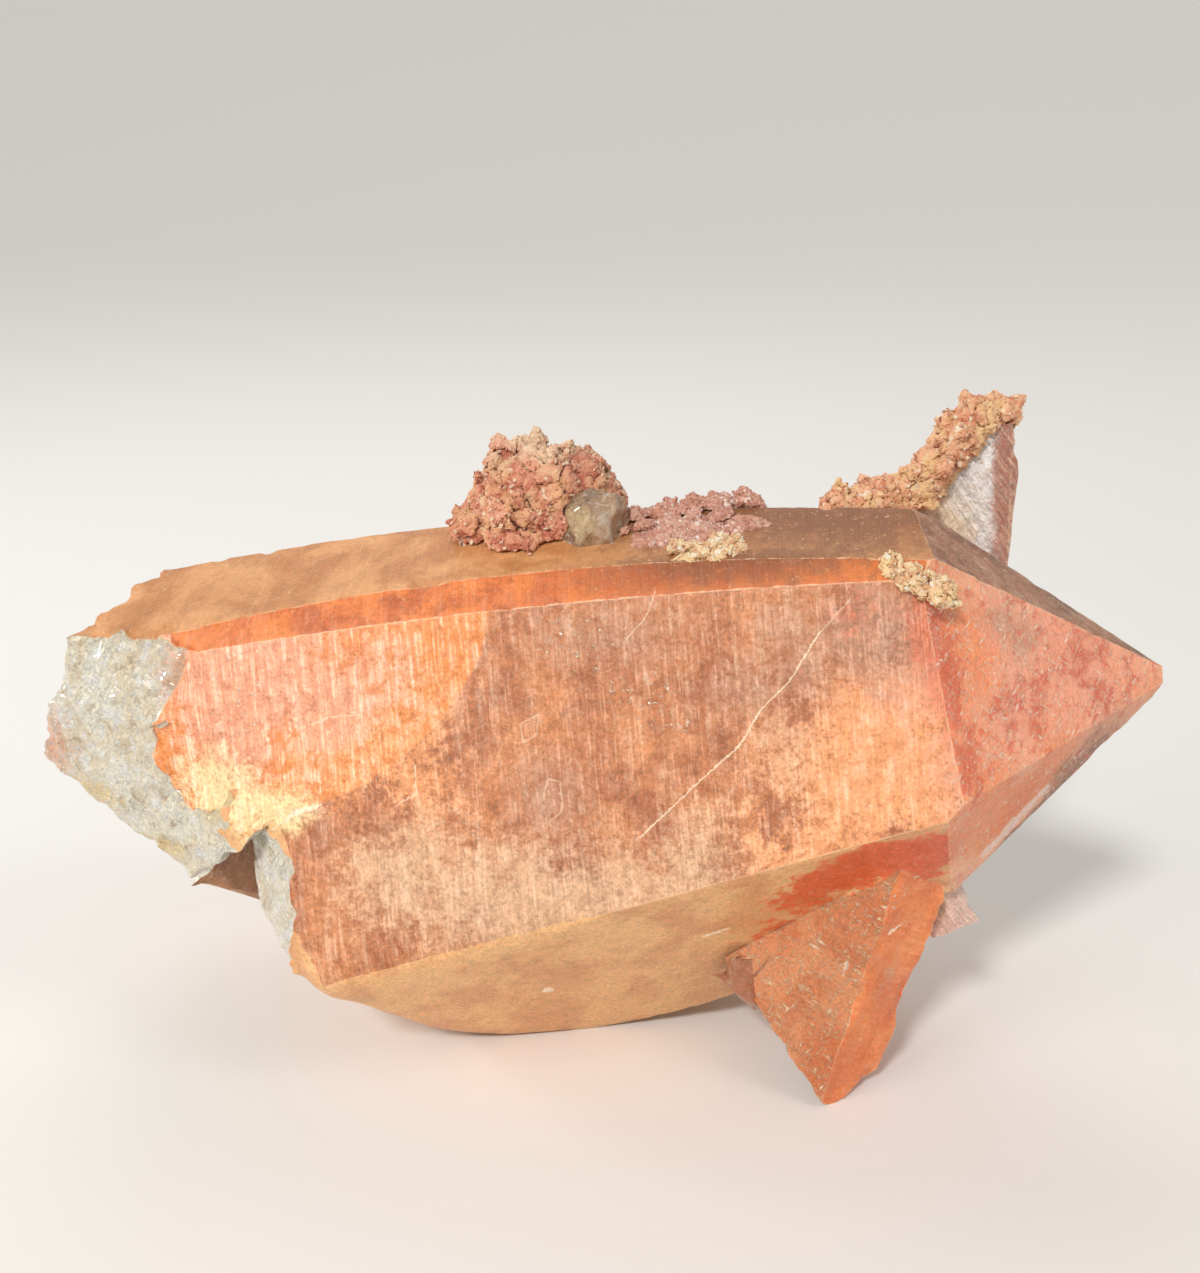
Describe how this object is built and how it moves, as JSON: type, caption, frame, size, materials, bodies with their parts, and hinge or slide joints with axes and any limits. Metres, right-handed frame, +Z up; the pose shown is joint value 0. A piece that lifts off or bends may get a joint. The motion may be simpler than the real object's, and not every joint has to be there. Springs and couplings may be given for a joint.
{
  "type": "mineral specimen",
  "caption": "Tangerine quartz cluster lying on its side: one large pointed crystal on two short feet, with rusty matrix and crystal crusts on top.",
  "frame": {"origin": "on the table under the middle of the bounding box", "axes": "+X towards the large crystal's point, along the longest extent; -Y is the pictured front; +Z up as it lies"},
  "size_m": [0.174, 0.0848, 0.1054],
  "materials": {
    "tangerine_quartz": "iron-stained natural crystal faces, satin to glassy, translucent, silvery where broken",
    "rusty_matrix": "coarse granular rock, matt with small glints",
    "rusty_crust": "coarse granular crust, matt with small glints",
    "plum_crust": "fine sparkling crystal crust",
    "yellow_grain": "fine pale yellow to pink grains"
  },
  "bodies": {
    "root": {"quartz_crystals": "tangerine_quartz", "matrix_knob": "rusty_matrix", "blade_crust": "rusty_crust", "ridge_crust": "plum_crust", "top_patch": "yellow_grain", "corner_patch": "yellow_grain"}
  },
  "joints": []
}
